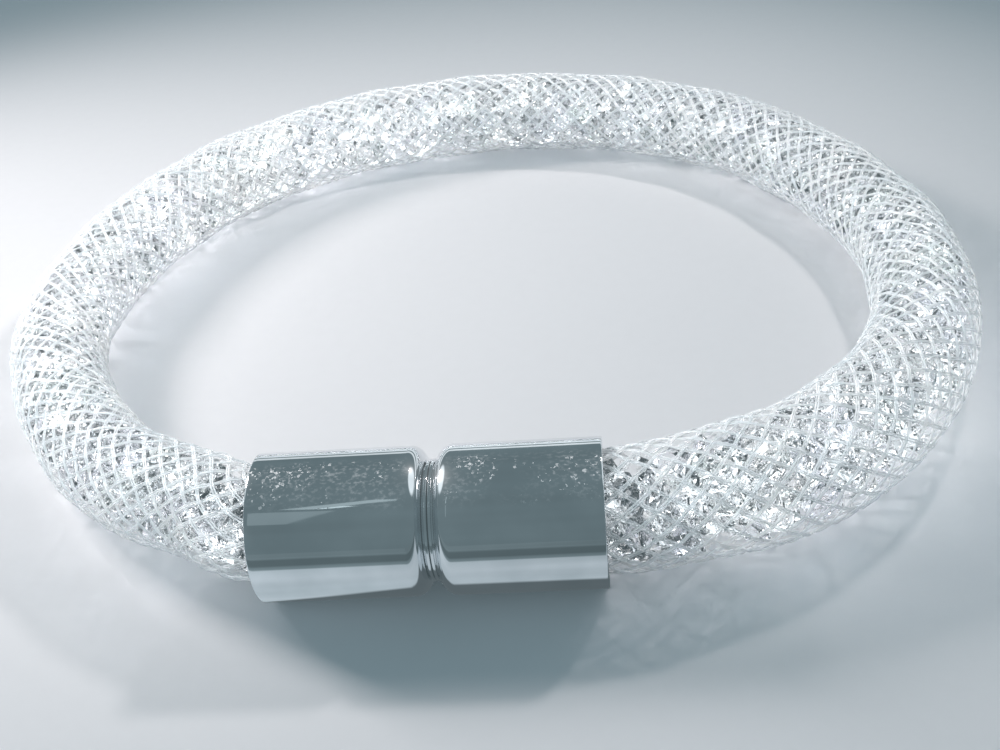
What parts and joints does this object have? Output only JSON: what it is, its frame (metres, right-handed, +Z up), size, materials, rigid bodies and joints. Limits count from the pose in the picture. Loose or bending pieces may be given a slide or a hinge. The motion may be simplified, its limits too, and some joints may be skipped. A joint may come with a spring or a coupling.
{
  "type": "crystal bracelet",
  "caption": "Round bracelet of clear net tube packed with loose cut crystals, closed by a magnetic clasp of two polished metal caps.",
  "frame": {"origin": "centre of the outer box on the surface that the bracelet lies on", "axes": "+Z up through the loop, out of the surface; -Y towards the clasp; +X along the clasp to the right cap"},
  "size_m": [0.0732, 0.0696, 0.009],
  "materials": {
    "net": "clear white nylon monofilament net",
    "crystal": "colourless cut glass, polished facets",
    "cap_metal": "mirror-polished steel with fine handling marks"
  },
  "bodies": {
    "root": {"mesh_sleeve": "net", "crystal_fill": "crystal", "left_cap": "cap_metal", "right_cap": "cap_metal"}
  },
  "joints": []
}
